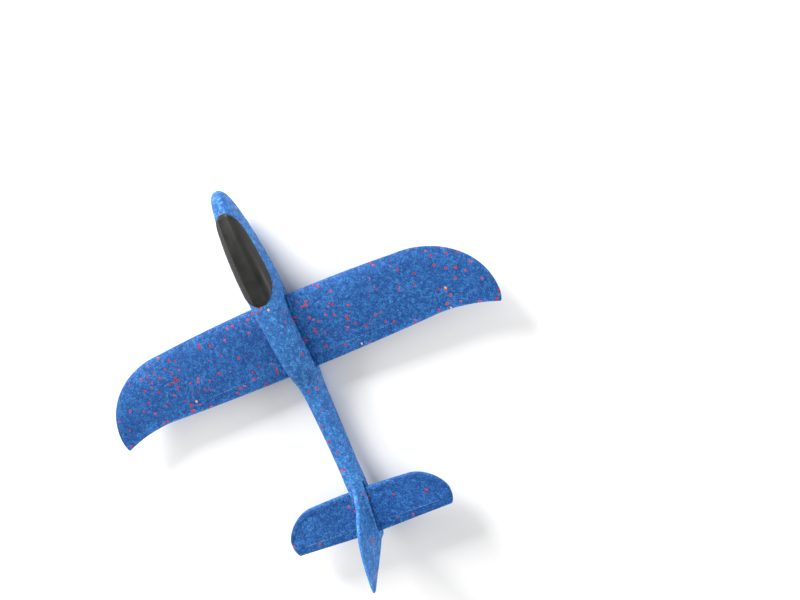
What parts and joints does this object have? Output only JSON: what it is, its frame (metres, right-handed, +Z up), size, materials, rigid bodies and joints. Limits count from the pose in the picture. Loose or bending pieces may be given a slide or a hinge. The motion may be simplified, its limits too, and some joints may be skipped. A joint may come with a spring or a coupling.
{
  "type": "toy airplane",
  "caption": "Hand-launched foam toy glider with a slotted-in wing and tailplane, swept fin, dark canopy and bendable trim tabs.",
  "frame": {"origin": "bottom centre of the glider's box: the belly rests on z = 0", "axes": "+X towards the nose, +Y towards the left wing tip, +Z up"},
  "size_m": [0.4549, 0.48, 0.107],
  "materials": {
    "foam": "matte",
    "canopy_foam": "satin",
    "ballast_steel": "satin"
  },
  "bodies": {
    "airframe": {"fuselage": "foam", "wing": "foam", "canopy": "canopy_foam", "nose_ballast": "ballast_steel"},
    "tail": {"tailplane": "foam"},
    "left_flap": {"left_flap": "foam"},
    "right_flap": {"right_flap": "foam"},
    "left_elevator": {"left_elevator": "foam"},
    "right_elevator": {"right_elevator": "foam"}
  },
  "joints": [
    {"name": "left_flap_hinge", "type": "hinge", "parent": "airframe", "child": "left_flap", "pos_m": [0.02049, 0.073, 0.02381], "axis": [0, 0.9996, 0.0274], "range_deg": [-25, 25]},
    {"name": "right_flap_hinge", "type": "hinge", "parent": "airframe", "child": "right_flap", "pos_m": [0.02049, -0.073, 0.02381], "axis": [0, 0.9996, -0.0274], "range_deg": [-25, 25]},
    {"name": "tail_slide", "type": "slide", "parent": "airframe", "child": "tail", "axis": [0, 1, 0], "range_m": [-0.112, 0.112]},
    {"name": "left_elevator_hinge", "type": "hinge", "parent": "tail", "child": "left_elevator", "pos_m": [-0.18172, 0.052, 0.03165], "axis": [0, 1, 0], "range_deg": [-25, 25]},
    {"name": "right_elevator_hinge", "type": "hinge", "parent": "tail", "child": "right_elevator", "pos_m": [-0.18172, -0.052, 0.03165], "axis": [0, 1, 0], "range_deg": [-25, 25]}
  ]
}
